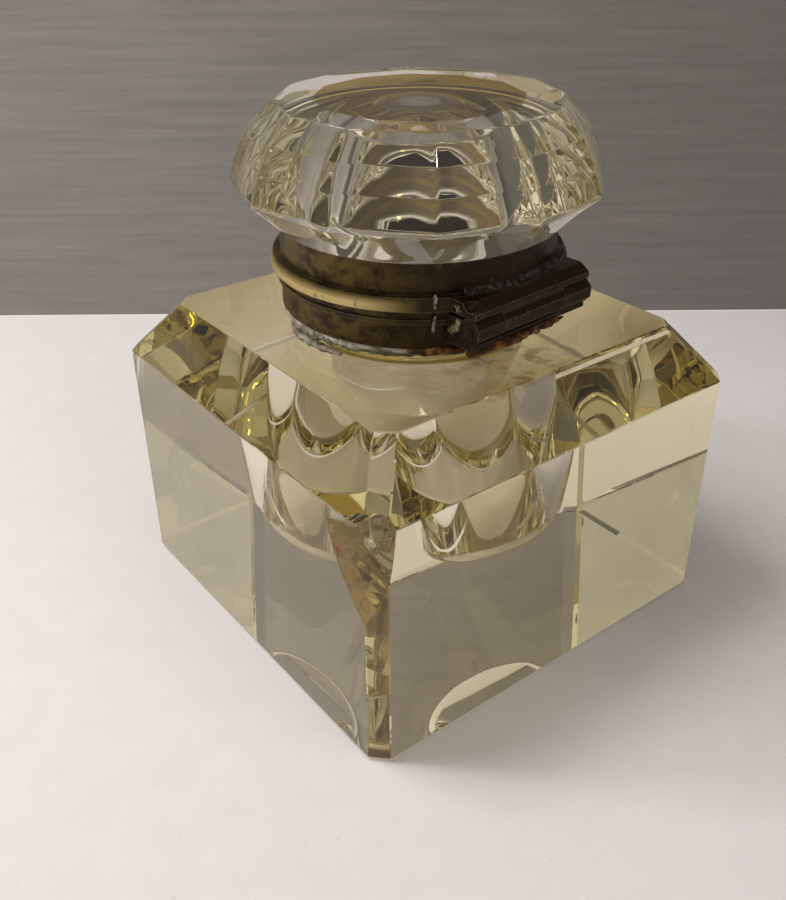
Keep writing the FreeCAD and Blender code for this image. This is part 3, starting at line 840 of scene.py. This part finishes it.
def backdrop_material(across):
    """Plain grey board, streaked along its length, with painted shade that darkens it towards the right; it
    is not there for a camera behind it.
    """
    tree = Tree("grey_backdrop")
    run = tree.along(across)
    flat = tree.node("ShaderNodeCombineXYZ")
    tree.join(run, flat.inputs[0])
    tree.join(tree.axes()[2], flat.inputs[2])
    tree.place = flat.outputs[0]
    grain = tree.noise(2.0 * MM, detail=8.0, stretch=(0.05, 1.0, 1.0), rough=0.7)
    # Painted shade: the board darkens towards the right as seen from the camera, up to 0.35 of the way to
    # WALL_SHADE.
    away = tree.range(run, -60 * MM, 90 * MM, 0.0, 0.35, smooth=False)
    colour = tree.mix(away, tree.mix(grain, *WALL_TONES), WALL_SHADE)
    board = tree.principled(Base_Color=colour, Roughness=0.6)
    clear = tree.node("ShaderNodeBsdfTransparent").outputs[0]
    behind = tree.node("ShaderNodeNewGeometry").outputs["Backfacing"]
    return tree.finish(tree.shade(behind, board, clear))


def build_stage():
    floor = [(x * ROOM, y * ROOM, FLOOR_HEIGHT) for x, y in ((-1, -1), (1, -1), (1, 1), (-1, 1))]
    stage_plane("floor", floor, floor_material())
    foot = Vector((-math.sin(VIEW_TURN), math.cos(VIEW_TURN), 0)) * WALL_BEHIND
    across = Vector((math.cos(VIEW_TURN), math.sin(VIEW_TURN), 0))
    left, right, lift = foot - across * ROOM, foot + across * ROOM, UPWARD * (2 * ROOM)
    stage_plane("backdrop", [left, right, right + lift, left + lift], backdrop_material(across))


def build_lights():
    """Wide lamps that the glass does not mirror, and one small one that leaves highlights."""
    for name, place, size, watts, colour, seen in LAMPS:
        lamp = bpy.data.lights.new(name, "AREA")
        lamp.shape = "RECTANGLE"
        lamp.size, lamp.size_y = size
        lamp.energy = watts
        lamp.color = colour
        holder = placed(name, lamp)
        holder.location = place
        aim = Vector((0, 0, BLOCK_TOP / 2)) - Vector(place)
        holder.rotation_euler = aim.to_track_quat("-Z", "Y").to_euler()
        holder.visible_glossy = seen
        holder.visible_transmission = seen


def build_sky():
    """Plain sky, dim at the horizon and brighter overhead."""
    world = bpy.data.worlds.new("soft_world")
    bpy.context.scene.world = world
    world.use_nodes = True
    nodes, links = world.node_tree.nodes, world.node_tree.links
    axes = nodes.new("ShaderNodeSeparateXYZ")
    links.new(nodes.new("ShaderNodeTexCoord").outputs["Generated"], axes.inputs[0])
    ramp = nodes.new("ShaderNodeValToRGB")
    ramp.color_ramp.elements[0].color = HORIZON
    ramp.color_ramp.elements[1].color = ZENITH
    links.new(axes.outputs[2], ramp.inputs[0])
    links.new(ramp.outputs[0], nodes["Background"].inputs["Color"])


def build_camera():
    back = Vector((math.sin(VIEW_TURN) * math.cos(VIEW_RISE), -math.cos(VIEW_TURN) * math.cos(VIEW_RISE),
                   math.sin(VIEW_RISE)))
    level = (-back).cross(UPWARD).normalized()
    upright = level.cross(-back)
    right = level * math.cos(VIEW_ROLL) + upright * math.sin(VIEW_ROLL)
    up = upright * math.cos(VIEW_ROLL) - level * math.sin(VIEW_ROLL)
    camera = bpy.data.cameras.new("camera")
    camera.lens = CAMERA_LENS
    camera.sensor_width = CAMERA_SENSOR
    camera.clip_start = 1 * MM
    holder = placed("camera", camera)
    turn = Matrix((right, up, back)).transposed().to_4x4()
    holder.matrix_world = Matrix.Translation(CAMERA_PLACE) @ turn
    bpy.context.scene.camera = holder


def set_light_paths():
    """Enough bounces for light to cross two thick pieces of glass."""
    cycles = bpy.context.scene.cycles
    cycles.max_bounces = 26
    cycles.transmission_bounces = 26
    cycles.glossy_bounces = 26
    cycles.transparent_max_bounces = 16
    cycles.caustics_reflective = False
    bpy.context.scene.view_settings.view_transform = "Standard"


glass_block_piece(block_glass())
glass_lid_piece(lid_glass())
give(old_plaster(), "base_cement", "lid_cement")
give(tarnished_brass(), "lower_collar", "throat_ring", "lower_hinge_leaf", "hinge_pin", "upper_collar",
     "upper_hinge_leaf")
give(dull_solder(), "lower_solder", "upper_solder")
add_residue()
build_stage()
build_lights()
build_sky()
build_camera()
set_light_paths()
